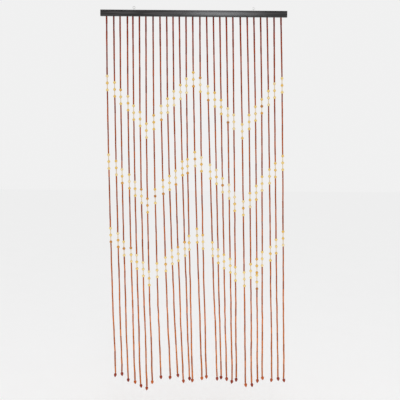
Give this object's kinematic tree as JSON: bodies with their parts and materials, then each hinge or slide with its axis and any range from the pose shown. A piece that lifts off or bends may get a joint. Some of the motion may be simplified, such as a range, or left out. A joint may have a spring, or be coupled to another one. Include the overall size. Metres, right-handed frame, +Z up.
{
  "type": "bead string door curtain on a wooden rail",
  "caption": "Hanging doorway curtain of separate bamboo tube strands with zigzag bands of round beads and pointed end drops, on a black wooden rail with screw eyes.",
  "frame": {"origin": "halfway between the centres of the two hanging rings", "axes": "+X along the rail to the viewer's right, +Y towards the wall or through the doorway, +Z up"},
  "size_m": [0.9167, 0.0186, 1.883],
  "materials": {
    "black_paint": "satin black paint over wood grain",
    "zinc_steel": "bright zinc plate",
    "dyed_bamboo": "red-brown dye, thin varnish",
    "cream_bamboo": "bleached, matte",
    "honey_wood": "clear varnish",
    "red_lacquer": "gloss lacquer",
    "string": "thin twisted cord"
  },
  "bodies": {
    "root": {"rail": "black_paint", "screw_eye_left": "zinc_steel", "screw_eye_right": "zinc_steel", "strands": "dyed_bamboo"}
  },
  "joints": []
}
